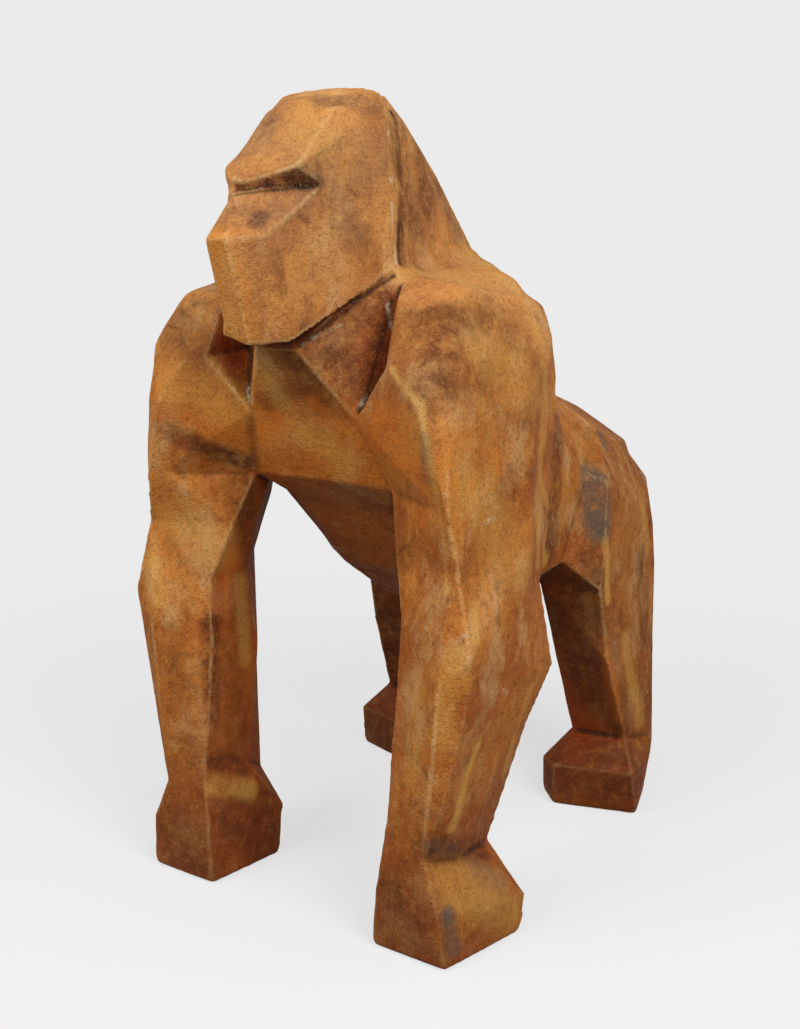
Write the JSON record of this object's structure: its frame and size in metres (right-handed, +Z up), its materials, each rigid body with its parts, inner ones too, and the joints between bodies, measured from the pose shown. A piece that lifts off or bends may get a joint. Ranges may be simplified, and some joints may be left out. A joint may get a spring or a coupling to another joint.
{
  "type": "gorilla garden sculpture",
  "caption": "Free-standing faceted gorilla on its knuckles and feet, cast in hollow bonded sections over a steel armature, with a rust-effect coat, as a garden ornament.",
  "frame": {"origin": "on the ground, under the middle of the bounding box", "axes": "+X to the gorilla's left, +Y towards its rump (it faces -Y), +Z up"},
  "size_m": [0.334, 0.5488, 0.637],
  "materials": {
    "rust_coat": "grainy rust-effect coat",
    "mortar": "trowelled, unpainted",
    "steel": "plain mild steel bar"
  },
  "bodies": {
    "root": {"face": "rust_coat", "hood": "rust_coat", "chest": "rust_coat", "rump": "rust_coat", "left_arm": "rust_coat", "left_fist": "rust_coat", "left_leg": "rust_coat", "left_foot": "rust_coat", "right_arm": "rust_coat", "right_fist": "rust_coat", "right_leg": "rust_coat", "right_foot": "rust_coat", "face_band": "mortar", "neck_band": "mortar", "waist_band": "mortar", "head_pad": "mortar", "left_shoulder_band": "mortar", "left_wrist_band": "mortar", "left_hip_band": "mortar", "left_ankle_band": "mortar", "left_fist_grout": "mortar", "left_foot_grout": "mortar", "right_shoulder_band": "mortar", "right_wrist_band": "mortar", "right_hip_band": "mortar", "right_ankle_band": "mortar", "right_fist_grout": "mortar", "right_foot_grout": "mortar", "shoulder_bar": "steel", "hip_bar": "steel", "spine_rod": "steel", "neck_rod": "steel", "left_arm_rod": "steel", "left_leg_rod": "steel", "right_arm_rod": "steel", "right_leg_rod": "steel"}
  },
  "joints": []
}
